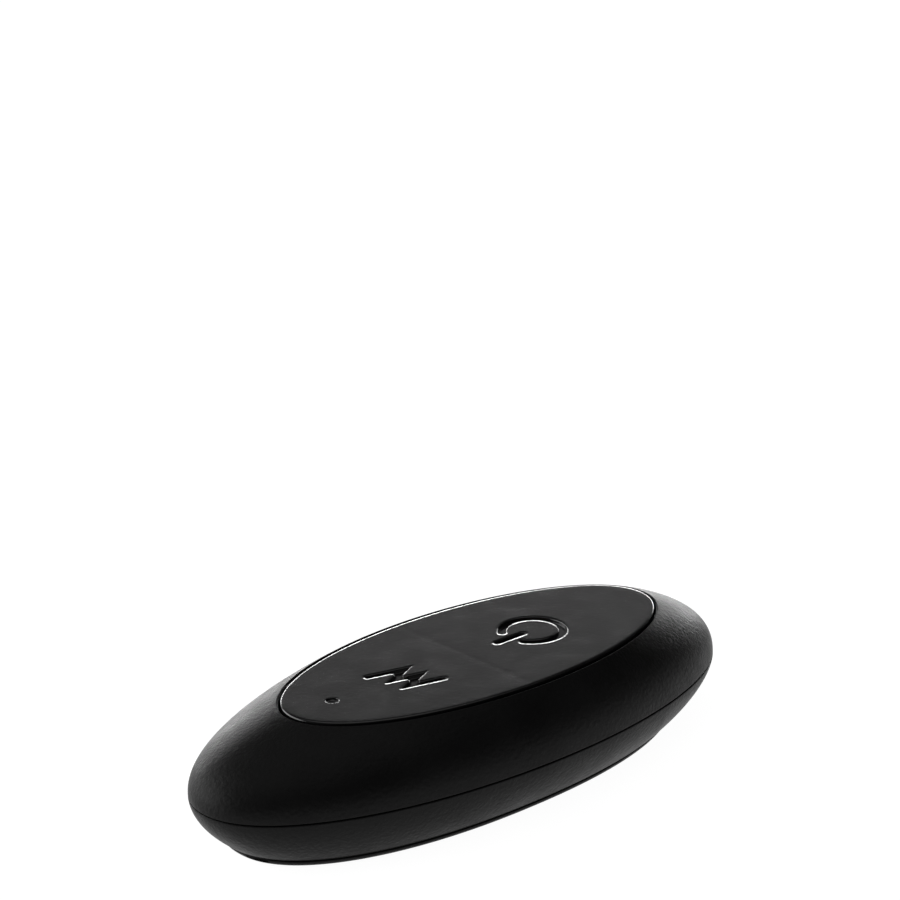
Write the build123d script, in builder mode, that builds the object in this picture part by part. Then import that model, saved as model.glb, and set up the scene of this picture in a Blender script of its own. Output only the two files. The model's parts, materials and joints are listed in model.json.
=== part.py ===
from build123d import *
import os
from math import cos, radians, sin

# Wireless hand control for a massager: a palm-sized pebble with a two-key pad, run by a coin cell.
#
# Frame: millimetres, +Z up. The origin is the middle of the bottom face, below the centre of the
# girth seam. +X points to the end with the power key, and the indicator end is towards -X.

os.makedirs("parts", exist_ok=True)

# ---------------------------------------------------------------- driving dimensions
# Housing
body_length = 72.0
body_width = 32.0
seam_height = 6.3
seam_gap = 0.1
wall = 1.5
rim_height = 13.47
rim_length = 52.3
rim_width = 24.6
rim_land = 0.1
rim_ledge_depth = 0.2
pad_centre = 1.5
base_height = 0.93
base_length = 61.4
base_width = 27.6
base_centre = -1.7
floor_bottom = 1.3
floor_top = 2.3

# Fullness of the two halves in side view: (1 - t**power)**root, with t from the seam outwards
upper_power = 2.25
upper_root = 0.95
lower_power = 1.7
lower_root = 0.92
section_levels = (0.0, 0.2, 0.4, 0.6, 0.75, 0.88, 0.96, 1.0)

# Snap seam: a lip on the lower half inside the upper half, with a bead in a groove
lip_inset = 0.9
lip_thickness = 0.7
lip_height = 1.0
bead = 0.15

# Key pad
pad_top = 13.65
pad_length = 50.6
pad_width = 22.6
pad_bevel = 0.4
pad_gap = 0.25
skin_thickness = 1.2
plate_thickness = 1.0
hinge_x = -0.4
bridge_width = 1.6
key_gap = 0.2
power_x = 9.9
mode_x = -9.4
indicator_x = -18.7
post_radius = 1.3
rib_end_gap = 3.0
hook_drop = 1.4
hook_width = 5.0
hook_toe_length = 2.6
hook_toe_height = 0.9

# Symbols pressed into the pad
groove_width = 1.6
groove_depth = 0.5
ring_radius = 3.5
ring_opening = 64.0
bar_start = 4.5
bar_end = 8.2
wave_width = 1.4
wave_start = (-12.0, 2.4)
wave_stroke = (3.1, -0.83)
wave_return = (-2.85, -1.48)
wave_strokes = 5
wave_end_stretch = 1.36

# Bridge between the keys
leg_spread = 20.2
leg_width = 2.0
foot_width = 3.2
foot_thickness = 0.8
foot_drop = 1.3
pin_radius = 0.4

# Light pipe of the indicator
pipe_radius = 0.65
pipe_flange_radius = 1.4
pipe_hole_radius = 0.7
pipe_end_height = 1.3

# Circuit board
board_bottom = 5.7
board_thickness = 1.0
board_length = 48.0
board_width = 22.6

# Tactile switches, 6 mm square
switch_size = 6.0
switch_body_height = 3.1
switch_frame_height = 0.2
switch_cavity_depth = 1.4
lead_length = 1.0
lead_width = 0.7
lead_thickness = 0.3
lead_pitch = 4.5
plunger_radius = 1.7
plunger_proud = 0.7
plunger_root = 0.6
plunger_round = 0.3
flange_extra = 0.3
flange_thickness = 0.5

# Parts on the board
led_length = 1.6
led_window_length = 1.0
led_width = 0.8
led_base_height = 0.35
led_height = 0.65
chip_size = 4.0
chip_height = 0.85
chip_bevel = 0.1
chip_y = 3.2
crystal_length = 3.2
crystal_width = 2.5
crystal_height = 0.7
crystal_corner = 0.4
crystal_y = -2.6
passive_length = 1.6
passive_width = 0.8
passive_pitch = 2.6
passive_row_pitch = 1.6
capacitor_height = 0.8
capacitor_y = -5.8
resistor_height = 0.45
resistor_y = 7.0
led_resistor_y = 2.4
antenna_runs = 5
antenna_pitch = 1.2
antenna_reach = 7.0
antenna_track = 0.4
antenna_thickness = 0.1

# Coin cell, 20 mm by 3.2 mm, with its tray and contacts
cell_radius = 10.0
cell_height = 3.2
cell_bottom = 1.5
cell_cap_inset = 1.4
cell_cap_height = 0.5
cell_round = 0.4
bay_radius = 10.7
tray_gap = 0.3
tray_wall = 0.9
tray_shoulder_inset = 0.9
tray_shoulder_thickness = 0.6
tray_gate_width = 3.4
strip = 0.2
leaf_width = 4.0
leaf_anchor_x = -5.0
leaf_bend_x = -1.4
leaf_touch_x = 1.2
leaf_end_x = 4.0
angle_width = 2.6
angle_length = 3.5

# Fasteners
pillar_x = 17.0
pillar_y = 6.0
pillar_radius = 1.6
screw_radius = 0.65
screw_length = 3.0
screw_head_radius = 1.4
screw_head_height = 1.0
screw_slot_length = 1.6
screw_slot_width = 0.4

# Battery cover
cover_flat_inset = 1.5
spigot_inset = 1.4
tab_offset = 16.0
tab_width = 5.0
tab_thickness = 1.0
tab_top = 3.6
cover_rib_width = 1.0
notch_y = -3.1
notch_width = 2.9
notch_turn = 27.0
notch_reach = 0.4

# Clearances
fit_gap = 0.1
press_gap = 0.05

# Solids that stand on their location, and solids that hang from it
upwards = (Align.CENTER, Align.CENTER, Align.MIN)
downwards = (Align.CENTER, Align.CENTER, Align.MAX)

# ---------------------------------------------------------------- derived sizes
board_top = board_bottom + board_thickness
switch_body_top = board_top + switch_body_height
switch_top = switch_body_top + switch_frame_height
plunger_top = switch_top + plunger_proud
flange_radius = plunger_radius + flange_extra
skin_bottom = pad_top - skin_thickness
plate_bottom = skin_bottom - plate_thickness
skin_length = pad_length + 2 * pad_bevel
skin_width = pad_width + 2 * pad_bevel
plate_length = skin_length - pad_bevel
plate_width = skin_width - pad_bevel
opening_length = skin_length + 2 * pad_gap
opening_width = skin_width + 2 * pad_gap
half_seam = seam_gap / 2
rebate_inset = lip_inset - fit_gap
socket_inset = spigot_inset - 2 * fit_gap
cell_top = cell_bottom + cell_height
can_top = cell_top - cell_cap_height
tray_inner = cell_radius + tray_gap
tray_outer = tray_inner + tray_wall
notch_x = base_centre - base_length / 2 + notch_reach


# ---------------------------------------------------------------- shared outlines
def outline(height, length, width, centre_x=0.0):
    """Level elliptical outline at a height."""
    with BuildSketch(Plane.XY.offset(height)) as plan:
        with Locations((centre_x, 0)):
            Ellipse(length / 2, width / 2)
    return plan.sketch


def inset_outline(height, inset):
    """Outline of the seam at a height, moved inwards."""
    return outline(height, body_length - 2 * inset, body_width - 2 * inset)


def upper_sections(inset):
    """Outlines of the upper housing from the seam to the rim, moved inwards by a wall thickness."""
    sections = []
    for level in section_levels:
        fullness = (1 - level**upper_power) ** upper_root
        length = rim_length + (body_length - rim_length) * fullness - 2 * inset
        width = rim_width + (body_width - rim_width) * fullness - 2 * inset
        height = seam_height + half_seam + level * (rim_height - inset - seam_height - half_seam)
        sections.append(outline(height, length, width, pad_centre * (1 - fullness)))
    return sections


def lower_sections(inset, end_height):
    """Outlines of the lower housing from the seam down to an end height."""
    sections = []
    for level in section_levels:
        fullness = (1 - level**lower_power) ** lower_root
        length = base_length + (body_length - base_length) * fullness - 2 * inset
        width = base_width + (body_width - base_width) * fullness - 2 * inset
        height = seam_height - half_seam - level * (seam_height - half_seam - end_height)
        sections.append(outline(height, length, width, base_centre * (1 - fullness)))
    return sections


def power_symbol():
    """Open ring with its gap towards the indicator, and a bar through the gap."""
    with BuildLine() as ring:
        CenterArc((power_x, 0), ring_radius, -180 + ring_opening / 2, 360 - ring_opening)
    with BuildSketch(Plane.XY.offset(pad_top)) as symbol:
        SlotArc(ring.edge(), groove_width)
        with Locations(((bar_start + bar_end) / 2, 0)):
            SlotCenterToCenter(bar_end - bar_start, groove_width)
    return symbol.sketch


def wave_symbol():
    """Zigzag of straight strokes, longer at both ends, for the massage pattern."""
    points = [wave_start]
    for i in range(wave_strokes):
        step_x, step_y = wave_stroke if i % 2 == 0 else wave_return
        stretch = wave_end_stretch if i in (0, wave_strokes - 1) else 1
        x, y = points[-1]
        points.append((x + stretch * step_x, y + stretch * step_y))
    with BuildSketch(Plane.XY.offset(pad_top)) as symbol:
        for start, end in zip(points, points[1:]):
            middle = ((start[0] + end[0]) / 2, (start[1] + end[1]) / 2)
            SlotCenterPoint(middle, end, wave_width)
    return symbol.sketch


# ---------------------------------------------------------------- housing
with BuildPart() as upper_shell:
    loft(upper_sections(0))
    loft(upper_sections(wall), mode=Mode.SUBTRACT)
    # rebate for the lower housing's lip, and the groove that its bead snaps into
    extrude(
        inset_outline(seam_height, rebate_inset),
        amount=half_seam + lip_height + fit_gap,
        mode=Mode.SUBTRACT,
    )
    extrude(
        inset_outline(seam_height + lip_height / 2 - 2 * bead, rebate_inset - bead),
        amount=4 * bead,
        mode=Mode.SUBTRACT,
    )
    # ledge just inside the rim, then the opening for the pad
    extrude(
        outline(
            rim_height - rim_ledge_depth,
            rim_length - 2 * rim_land,
            rim_width - 2 * rim_land,
            pad_centre,
        ),
        amount=2 * rim_ledge_depth,
        mode=Mode.SUBTRACT,
    )
    extrude(
        outline(plate_bottom - 2 * wall, opening_length, opening_width, pad_centre),
        amount=3 * wall + pad_top - plate_bottom,
        mode=Mode.SUBTRACT,
    )
upper_shell.part.label = "upper_shell"
export_step(upper_shell.part, "parts/upper_shell.step")

with BuildPart() as lower_shell:
    loft(lower_sections(0, base_height))
    loft(lower_sections(wall, floor_top), mode=Mode.SUBTRACT)
    # lip that stands up inside the upper housing, with its snap bead
    extrude(inset_outline(seam_height - wall, lip_inset), amount=wall + lip_height - half_seam)
    extrude(inset_outline(seam_height + lip_height / 2 - bead, lip_inset - bead), amount=2 * bead)
    extrude(
        inset_outline(seam_height - wall, lip_inset + lip_thickness),
        amount=2 * wall + lip_height,
        mode=Mode.SUBTRACT,
    )
    # board pillars with their screw holes
    with Locations((0, 0, floor_bottom)):
        with GridLocations(2 * pillar_x, 2 * pillar_y, 2, 2):
            Cylinder(pillar_radius, board_bottom - floor_bottom, align=upwards)
    with Locations((0, 0, board_bottom)):
        with GridLocations(2 * pillar_x, 2 * pillar_y, 2, 2):
            Hole(screw_radius + press_gap, depth=board_bottom - floor_top)
    # recess for the cover's spigot, the battery bay and the slots for the cover's tabs
    extrude(
        outline(
            base_height - wall,
            base_length - 2 * socket_inset,
            base_width - 2 * socket_inset,
            base_centre,
        ),
        amount=wall + floor_bottom - base_height,
        mode=Mode.SUBTRACT,
    )
    with Locations((0, 0, floor_bottom)):
        Cylinder(bay_radius, 2 * wall, mode=Mode.SUBTRACT)
    with Locations((base_centre, 0, floor_bottom)):
        with GridLocations(2 * tab_offset, 1, 2, 1):
            Box(tab_thickness + 4 * fit_gap, tab_width + 4 * fit_gap, 2 * wall, mode=Mode.SUBTRACT)
    # finger notch in the lower edge
    with Locations(Location((notch_x, notch_y, base_height), (0, 0, notch_turn))):
        Box(wall, notch_width, wall / 2, mode=Mode.SUBTRACT)
lower_shell.part.label = "lower_shell"
export_step(lower_shell.part, "parts/lower_shell.step")

with BuildPart() as battery_cover:
    # the edge is a quarter ellipse, from upright at the top to level at the bottom
    cover_sections = []
    for angle in range(0, 91, 15):
        inset = cover_flat_inset * (1 - cos(radians(angle)))
        height = (base_height - half_seam) * (1 - sin(radians(angle)))
        cover_sections.append(outline(height, base_length - 2 * inset, base_width - 2 * inset, base_centre))
    loft(cover_sections)
    extrude(
        outline(base_height / 2, base_length - 2 * spigot_inset, base_width - 2 * spigot_inset, base_centre),
        amount=floor_bottom - fit_gap - base_height / 2,
    )
    # ring that centres the cover round the cell, and three low ribs below the cell
    with BuildSketch(Plane.XY.offset(base_height / 2)):
        Circle(bay_radius - 2 * fit_gap)
        Circle(cell_radius + 2 * fit_gap, mode=Mode.SUBTRACT)
    extrude(amount=floor_top - fit_gap - base_height / 2)
    with Locations((0, 0, base_height / 2)):
        with GridLocations(1, cell_radius / 2, 1, 3):
            Box(
                cell_radius,
                cover_rib_width,
                cell_bottom - press_gap - base_height / 2,
                align=upwards,
            )
    # snap tabs
    with Locations((base_centre, 0, base_height / 2)):
        with GridLocations(2 * tab_offset, 1, 2, 1):
            Box(tab_thickness, tab_width, tab_top - base_height / 2, align=upwards)
    # finger notch in the upper edge
    with Locations(Location((notch_x, notch_y, base_height), (0, 0, notch_turn))):
        Box(wall, notch_width, base_height, mode=Mode.SUBTRACT)
battery_cover.part.label = "battery_cover"
export_step(battery_cover.part, "parts/battery_cover.step")

# ---------------------------------------------------------------- key pad
# Each key is a stiff plate with a soft skin bonded on top. The keys hinge at a fixed bridge across
# the middle of the opening, where a narrow strip of the same skin makes the crease.
key_sides = {"power": 1, "mode": -1}
key_centres = {"power": power_x, "mode": mode_x}

for name, side in key_sides.items():
    # everything on the other side of this plane belongs to the bridge or the other key
    edge_x = hinge_x + side * (bridge_width / 2 + key_gap)
    plate_end = pad_centre + side * plate_length / 2
    kept_side = Keep.TOP if side > 0 else Keep.BOTTOM

    with BuildPart() as key_plate:
        extrude(outline(plate_bottom, plate_length, plate_width, pad_centre), amount=plate_thickness)
        # post that presses the switch, and two ribs that stiffen the plate
        with Locations((key_centres[name], 0, plate_bottom)):
            Cylinder(post_radius, plate_bottom - plunger_top - press_gap, align=downwards)
        rib_length = abs(plate_end - edge_x) - wall - 2 * rib_end_gap
        with Locations(((plate_end + edge_x - side * wall) / 2, 0, plate_bottom)):
            with GridLocations(1, pad_width / 2, 1, 2):
                Box(rib_length, plate_thickness, plate_thickness, align=downwards)
        # hook whose toe lies under the rim and stops the key from lifting
        with Locations((plate_end - side * wall, 0, plate_bottom)):
            Box(plate_thickness, hook_width, hook_drop, align=downwards)
        with Locations((plate_end - side * plate_thickness / 4, 0, plate_bottom - hook_drop)):
            Box(hook_toe_length, hook_width, hook_toe_height, align=upwards)
        split(bisect_by=Plane.YZ.offset(edge_x), keep=kept_side)
        if name == "mode":
            with Locations((indicator_x, 0, skin_bottom)):
                Hole(pipe_hole_radius, depth=plate_thickness)
    key_plate.part.label = name + "_key"
    export_step(key_plate.part, "parts/" + name + "_key.step")

    with BuildPart() as skin:
        extrude(outline(skin_bottom, skin_length, skin_width, pad_centre), amount=skin_thickness)
        chamfer(skin.edges().group_by(Axis.Z)[-1], pad_bevel)
        symbol_plan = power_symbol() if name == "power" else wave_symbol()
        extrude(symbol_plan, amount=-groove_depth, mode=Mode.SUBTRACT)
        split(bisect_by=Plane.YZ.offset(edge_x), keep=kept_side)
        if name == "mode":
            with Locations((indicator_x, 0, pad_top)):
                Hole(pipe_hole_radius, depth=skin_thickness)
    skin.part.label = name + "_pad"
    export_step(skin.part, "parts/" + name + "_pad.step")

with BuildPart() as crease_strip:
    extrude(outline(skin_bottom, skin_length, skin_width, pad_centre), amount=skin_thickness)
    chamfer(crease_strip.edges().group_by(Axis.Z)[-1], pad_bevel)
    split(bisect_by=Plane.YZ.offset(hinge_x - bridge_width / 2), keep=Keep.TOP)
    split(bisect_by=Plane.YZ.offset(hinge_x + bridge_width / 2), keep=Keep.BOTTOM)
crease_strip.part.label = "crease_strip"
export_step(crease_strip.part, "parts/crease_strip.step")

with BuildPart() as keypad_bridge:
    extrude(outline(plate_bottom, plate_length, plate_width, pad_centre), amount=plate_thickness)
    split(bisect_by=Plane.YZ.offset(hinge_x - bridge_width / 2), keep=Keep.TOP)
    split(bisect_by=Plane.YZ.offset(hinge_x + bridge_width / 2), keep=Keep.BOTTOM)
    # legs that stand on the board, with pins into it, and feet that reach under the rim
    with Locations((hinge_x, 0, board_top)):
        with GridLocations(1, leg_spread, 1, 2):
            Box(bridge_width, leg_width, plate_bottom - board_top, align=upwards)
            Cylinder(pin_radius, board_thickness, align=downwards)
    with Locations((hinge_x, 0, plate_bottom - foot_drop)):
        with GridLocations(1, leg_spread + foot_width - leg_width, 1, 2):
            Box(bridge_width, foot_width, foot_thickness, align=downwards)
keypad_bridge.part.label = "keypad_bridge"
export_step(keypad_bridge.part, "parts/keypad_bridge.step")

with BuildPart() as light_pipe:
    # straight pipe with a flange bonded under the key's plate
    pipe_end = board_top + pipe_end_height
    with Locations((indicator_x, 0, pipe_end)):
        Cylinder(pipe_radius, pad_top - half_seam - pipe_end, align=upwards)
    with Locations((indicator_x, 0, plate_bottom)):
        Cylinder(pipe_flange_radius, plate_thickness, align=downwards)
light_pipe.part.label = "light_pipe"
export_step(light_pipe.part, "parts/light_pipe.step")

# ---------------------------------------------------------------- circuit board and its parts
with BuildPart() as circuit_board:
    extrude(outline(board_bottom, board_length, board_width), amount=board_thickness)
    with Locations((0, 0, board_top)):
        with GridLocations(2 * pillar_x, 2 * pillar_y, 2, 2):
            Hole(screw_radius + 2 * fit_gap, depth=board_thickness)
    with Locations((hinge_x, 0, board_top)):
        with GridLocations(1, leg_spread, 1, 2):
            Hole(pin_radius + press_gap, depth=board_thickness)
circuit_board.part.label = "circuit_board"
export_step(circuit_board.part, "parts/circuit_board.step")

with BuildPart() as board_screws:
    with Locations((0, 0, board_top)):
        with GridLocations(2 * pillar_x, 2 * pillar_y, 2, 2):
            Cylinder(screw_head_radius, screw_head_height, align=upwards)
            Cylinder(screw_radius, screw_length, align=downwards)
    with Locations((0, 0, board_top + screw_head_height)):
        with GridLocations(2 * pillar_x, 2 * pillar_y, 2, 2):
            Box(screw_slot_length, screw_slot_width, screw_head_height, mode=Mode.SUBTRACT)
            Box(screw_slot_width, screw_slot_length, screw_head_height, mode=Mode.SUBTRACT)
board_screws.part.label = "board_screws"
export_step(board_screws.part, "parts/board_screws.step")

for name, centre in key_centres.items():
    with BuildPart() as switch_body:
        with Locations((centre, 0, board_top)):
            Box(switch_size, switch_size, switch_body_height, align=upwards)
            # four leads that stand beside the body on the board
            with GridLocations(switch_size + lead_length - fit_gap, lead_pitch, 2, 2):
                Box(lead_length, lead_width, lead_thickness, align=upwards)
        with Locations((centre, 0, switch_body_top)):
            Hole(flange_radius + 2 * fit_gap, depth=switch_cavity_depth)
    switch_body.part.label = name + "_switch_body"
    export_step(switch_body.part, "parts/" + name + "_switch_body.step")

    with BuildPart() as switch_frame:
        with Locations((centre, 0, switch_body_top)):
            Box(switch_size, switch_size, switch_frame_height, align=upwards)
        with Locations((centre, 0, switch_top)):
            Hole(plunger_radius + fit_gap, depth=switch_frame_height)
    switch_frame.part.label = name + "_switch_frame"
    export_step(switch_frame.part, "parts/" + name + "_switch_frame.step")

    with BuildPart() as plunger:
        with Locations((centre, 0, plunger_top)):
            Cylinder(
                plunger_radius,
                plunger_proud + switch_frame_height + plunger_root,
                align=downwards,
            )
        fillet(plunger.edges().group_by(Axis.Z)[-1], plunger_round)
        # flange that the metal frame holds down
        with Locations((centre, 0, switch_body_top - fit_gap)):
            Cylinder(flange_radius, flange_thickness, align=downwards)
    plunger.part.label = name + "_switch_plunger"
    export_step(plunger.part, "parts/" + name + "_switch_plunger.step")

with BuildPart() as status_led:
    with Locations((indicator_x, 0, board_top)):
        Box(led_length, led_width, led_base_height, align=upwards)
        Box(led_window_length, led_width, led_height, align=upwards)
status_led.part.label = "status_led"
export_step(status_led.part, "parts/status_led.step")

with BuildPart() as radio_chip:
    with Locations((0, chip_y, board_top)):
        Box(chip_size, chip_size, chip_height, align=upwards)
    chamfer(radio_chip.edges().group_by(Axis.Z)[-1], chip_bevel)
radio_chip.part.label = "radio_chip"
export_step(radio_chip.part, "parts/radio_chip.step")

with BuildPart() as crystal:
    with Locations((0, crystal_y, board_top)):
        Box(crystal_length, crystal_width, crystal_height, align=upwards)
    fillet(crystal.edges().filter_by(Axis.Z), crystal_corner)
crystal.part.label = "crystal"
export_step(crystal.part, "parts/crystal.step")

with BuildPart() as capacitors:
    with Locations((0, capacitor_y, board_top)):
        with GridLocations(passive_pitch, passive_row_pitch, 3, 2):
            Box(passive_length, passive_width, capacitor_height, align=upwards)
capacitors.part.label = "capacitors"
export_step(capacitors.part, "parts/capacitors.step")

with BuildPart() as resistors:
    # three beside the chip, and one beside the indicator's LED
    with Locations((0, resistor_y, board_top)):
        with GridLocations(passive_pitch, 1, 3, 1):
            Box(passive_length, passive_width, resistor_height, align=upwards)
    with Locations((indicator_x + passive_pitch, led_resistor_y, board_top)):
        Box(passive_length, passive_width, resistor_height, align=upwards)
resistors.part.label = "resistors"
export_step(resistors.part, "parts/resistors.step")

with BuildPart() as antenna:
    # printed meander beyond the power switch
    turn_y = (antenna_reach - antenna_track) / 2
    with BuildSketch(Plane.XY.offset(board_top)):
        for i in range(antenna_runs):
            run_x = power_x + switch_size + i * antenna_pitch
            with Locations((run_x, 0)):
                Rectangle(antenna_track, antenna_reach)
            if i < antenna_runs - 1:
                with Locations((run_x + antenna_pitch / 2, turn_y if i % 2 else -turn_y)):
                    Rectangle(antenna_pitch + antenna_track, antenna_track)
    extrude(amount=antenna_thickness)
antenna.part.label = "antenna"
export_step(antenna.part, "parts/antenna.step")

# ---------------------------------------------------------------- battery
with BuildPart() as battery_tray:
    with BuildSketch(Plane.XY.offset(floor_top)):
        Circle(tray_outer)
        Circle(tray_inner, mode=Mode.SUBTRACT)
    extrude(amount=board_bottom - floor_top)
    # shoulder that stops the cell, clear of its smaller negative cap
    with BuildSketch(Plane.XY.offset(can_top + fit_gap)):
        Circle(tray_outer)
        Circle(cell_radius - tray_shoulder_inset, mode=Mode.SUBTRACT)
    extrude(amount=tray_shoulder_thickness)
    # gate for the positive contact
    with Locations((tray_inner + tray_wall / 2, 0, floor_top)):
        Box(
            4 * tray_wall,
            tray_gate_width,
            2 * (board_bottom - floor_top) + wall,
            mode=Mode.SUBTRACT,
        )
battery_tray.part.label = "battery_tray"
export_step(battery_tray.part, "parts/battery_tray.step")

with BuildPart() as coin_cell:
    with Locations((0, 0, cell_bottom)):
        Cylinder(cell_radius, can_top - cell_bottom, align=upwards)
    fillet(coin_cell.edges(), cell_round)
    with Locations((0, 0, can_top)):
        Cylinder(cell_radius - cell_cap_inset, cell_cap_height, align=upwards)
coin_cell.part.label = "coin_cell"
export_step(coin_cell.part, "parts/coin_cell.step")

with BuildPart() as negative_contact:
    # leaf that springs down from the board onto the cell's cap
    with BuildSketch(Plane.XZ):
        Polygon(
            (leaf_anchor_x, board_bottom),
            (leaf_anchor_x, board_bottom - strip),
            (leaf_bend_x - strip, board_bottom - strip),
            (leaf_touch_x, cell_top),
            (leaf_end_x, cell_top),
            (leaf_end_x, cell_top + strip),
            (leaf_touch_x + strip, cell_top + strip),
            (leaf_bend_x, board_bottom),
            align=None,
        )
    extrude(amount=leaf_width / 2, both=True)
negative_contact.part.label = "negative_contact"
export_step(negative_contact.part, "parts/negative_contact.step")

with BuildPart() as positive_contact:
    # angle strip that bears on the side of the can
    with BuildSketch(Plane.XZ):
        Polygon(
            (cell_radius + angle_length, board_bottom),
            (cell_radius, board_bottom),
            (cell_radius, floor_top + strip),
            (cell_radius + strip, floor_top + strip),
            (cell_radius + strip, board_bottom - strip),
            (cell_radius + angle_length, board_bottom - strip),
            align=None,
        )
    extrude(amount=angle_width / 2, both=True)
positive_contact.part.label = "positive_contact"
export_step(positive_contact.part, "parts/positive_contact.step")
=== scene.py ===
import json
import math

import bmesh
import bpy
import numpy as np
from mathutils import Matrix, Vector, geometry


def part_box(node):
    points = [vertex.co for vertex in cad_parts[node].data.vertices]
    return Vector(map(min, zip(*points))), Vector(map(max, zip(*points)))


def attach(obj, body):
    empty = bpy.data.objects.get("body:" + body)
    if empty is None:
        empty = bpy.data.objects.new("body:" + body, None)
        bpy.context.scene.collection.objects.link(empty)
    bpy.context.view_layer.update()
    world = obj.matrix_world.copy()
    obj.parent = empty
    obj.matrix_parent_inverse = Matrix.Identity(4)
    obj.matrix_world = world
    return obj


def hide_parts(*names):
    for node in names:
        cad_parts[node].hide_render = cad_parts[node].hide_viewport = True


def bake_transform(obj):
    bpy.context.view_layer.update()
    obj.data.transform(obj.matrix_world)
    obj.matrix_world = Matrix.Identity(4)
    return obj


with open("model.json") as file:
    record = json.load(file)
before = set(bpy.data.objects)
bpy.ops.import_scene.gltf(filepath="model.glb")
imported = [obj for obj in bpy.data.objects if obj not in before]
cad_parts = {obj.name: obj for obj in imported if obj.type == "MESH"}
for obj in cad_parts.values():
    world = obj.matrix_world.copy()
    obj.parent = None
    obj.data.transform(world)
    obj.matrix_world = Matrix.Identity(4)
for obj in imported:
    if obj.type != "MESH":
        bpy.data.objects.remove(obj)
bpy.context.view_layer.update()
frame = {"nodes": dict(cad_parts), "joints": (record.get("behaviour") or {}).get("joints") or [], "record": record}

MM = 0.001

# ---------------------------------------------------------------- sizes, from the frame
upper_low, upper_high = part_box("upper_shell")
lower_low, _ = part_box("lower_shell")
cover_low, cover_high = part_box("battery_cover")
power_low, power_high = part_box("power_pad")
mode_low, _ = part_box("mode_pad")
plate_low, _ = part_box("power_key")
pipe_low, pipe_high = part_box("light_pipe")
cell_low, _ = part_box("coin_cell")
board_low, board_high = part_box("circuit_board")
bridge_low, bridge_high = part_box("keypad_bridge")
joints = {joint["name"]: joint for joint in frame["joints"]}
hinge_x = joints["power_key_press"]["pos_m"][0]

# Housing
seam_gap = 0.1 * MM
seam_height = upper_low.z - seam_gap / 2
body_half_length = 36.0 * MM
body_half_width = 16.0 * MM
body_power = 2.05
wall = 1.5 * MM
rim_height = upper_high.z
base_height = lower_low.z
base_centre = (cover_low.x + cover_high.x) / 2
base_half_length = (cover_high.x - cover_low.x) / 2 - 0.3 * MM
base_half_width = (cover_high.y - cover_low.y) / 2 - 0.22 * MM
base_power = 2.2
floor_bottom = 1.3 * MM
floor_top = 2.3 * MM
bay_radius = 10.7 * MM
tab_reach = 16.0 * MM

# Fullness in side view: (1 - t**power)**root, with t from the seam outwards
upper_fullness = (2.25, 0.95)
lower_fullness = (1.7, 0.92)

# Pad
pad_top = power_high.z
pad_bottom = power_low.z
pad_centre = (mode_low.x + power_high.x) / 2
pad_half_length = (power_high.x - mode_low.x) / 2
pad_half_width = power_high.y
pad_gap = 0.25 * MM
rim_land_length = 0.2 * MM
rim_land_width = 0.35 * MM
rim_ledge_depth = 0.2 * MM
power_x = 9.9 * MM
indicator_x = (pipe_low.x + pipe_high.x) / 2
indicator_radius = 0.7 * MM

points_round = 288
window_points = 64
sharp_angle = 35.0


# ---------------------------------------------------------------- mesh helpers
def ring_points(half_length, half_width, centre_x, height, power=2.0, count=points_round):
    """Points of a level superellipse, anticlockwise from +X."""
    angles = np.arange(count) * 2 * math.pi / count
    cosines, sines = np.cos(angles), np.sin(angles)
    x = centre_x + half_length * np.sign(cosines) * np.abs(cosines) ** (2 / power)
    y = half_width * np.sign(sines) * np.abs(sines) ** (2 / power)
    return np.stack([x, y, np.full(count, height)], 1)


def new_object(name, points, faces, smooth_angle=sharp_angle):
    """Mesh object with smooth shading that breaks at sharp edges, and faces turned outwards."""
    mesh = bpy.data.meshes.new(name)
    mesh.from_pydata([tuple(p) for p in points], [], [tuple(f) for f in faces])
    work = bmesh.new()
    work.from_mesh(mesh)
    bmesh.ops.remove_doubles(work, verts=work.verts, dist=1e-7)
    bmesh.ops.recalc_face_normals(work, faces=work.faces)
    work.to_mesh(mesh)
    work.free()
    mesh.shade_smooth()
    mesh.set_sharp_from_angle(angle=math.radians(smooth_angle))
    piece = bpy.data.objects.new(name, mesh)
    bpy.context.scene.collection.objects.link(piece)
    return piece


def rows_to_faces(row_count, count, first=0, closed=False):
    """Quads between neighbouring rings of points."""
    faces = []
    pairs = [(i, i + 1) for i in range(row_count - 1)]
    if closed:
        pairs.append((row_count - 1, 0))
    for lower, upper in pairs:
        for i in range(count):
            j = (i + 1) % count
            faces.append((
                first + lower * count + i,
                first + lower * count + j,
                first + upper * count + j,
                first + upper * count + i,
            ))
    return faces


def tube_of_rows(rows):
    """Points and faces of a ring-shaped solid whose section runs through the rows."""
    count = len(rows[0])
    return np.concatenate(rows), rows_to_faces(len(rows), count, closed=True)


def capped_rows(rows):
    """Points and faces of a solid whose first and last rows are closed by flat caps."""
    count = len(rows[0])
    faces = rows_to_faces(len(rows), count)
    faces.append(tuple(reversed(range(count))))
    faces.append(tuple(range((len(rows) - 1) * count, len(rows) * count)))
    return np.concatenate(rows), faces


def merged(parts):
    """One list of points and faces from several."""
    points, faces, first = [], [], 0
    for part_points, part_faces in parts:
        points.append(np.asarray(part_points))
        faces += [tuple(first + i for i in face) for face in part_faces]
        first += len(part_points)
    return np.concatenate(points), faces


def cut(piece, cutters):
    """Cuts the cutters out of a piece and removes them."""
    for cutter in cutters:
        modifier = piece.modifiers.new("cut", "BOOLEAN")
        modifier.operation = "DIFFERENCE"
        modifier.solver = "EXACT"
        modifier.object = cutter
    depsgraph = bpy.context.evaluated_depsgraph_get()
    mesh = bpy.data.meshes.new_from_object(piece.evaluated_get(depsgraph))
    piece.modifiers.clear()
    piece.data = mesh
    for cutter in cutters:
        bpy.data.objects.remove(cutter)
    mesh.shade_smooth()
    mesh.set_sharp_from_angle(angle=math.radians(sharp_angle))


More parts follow.
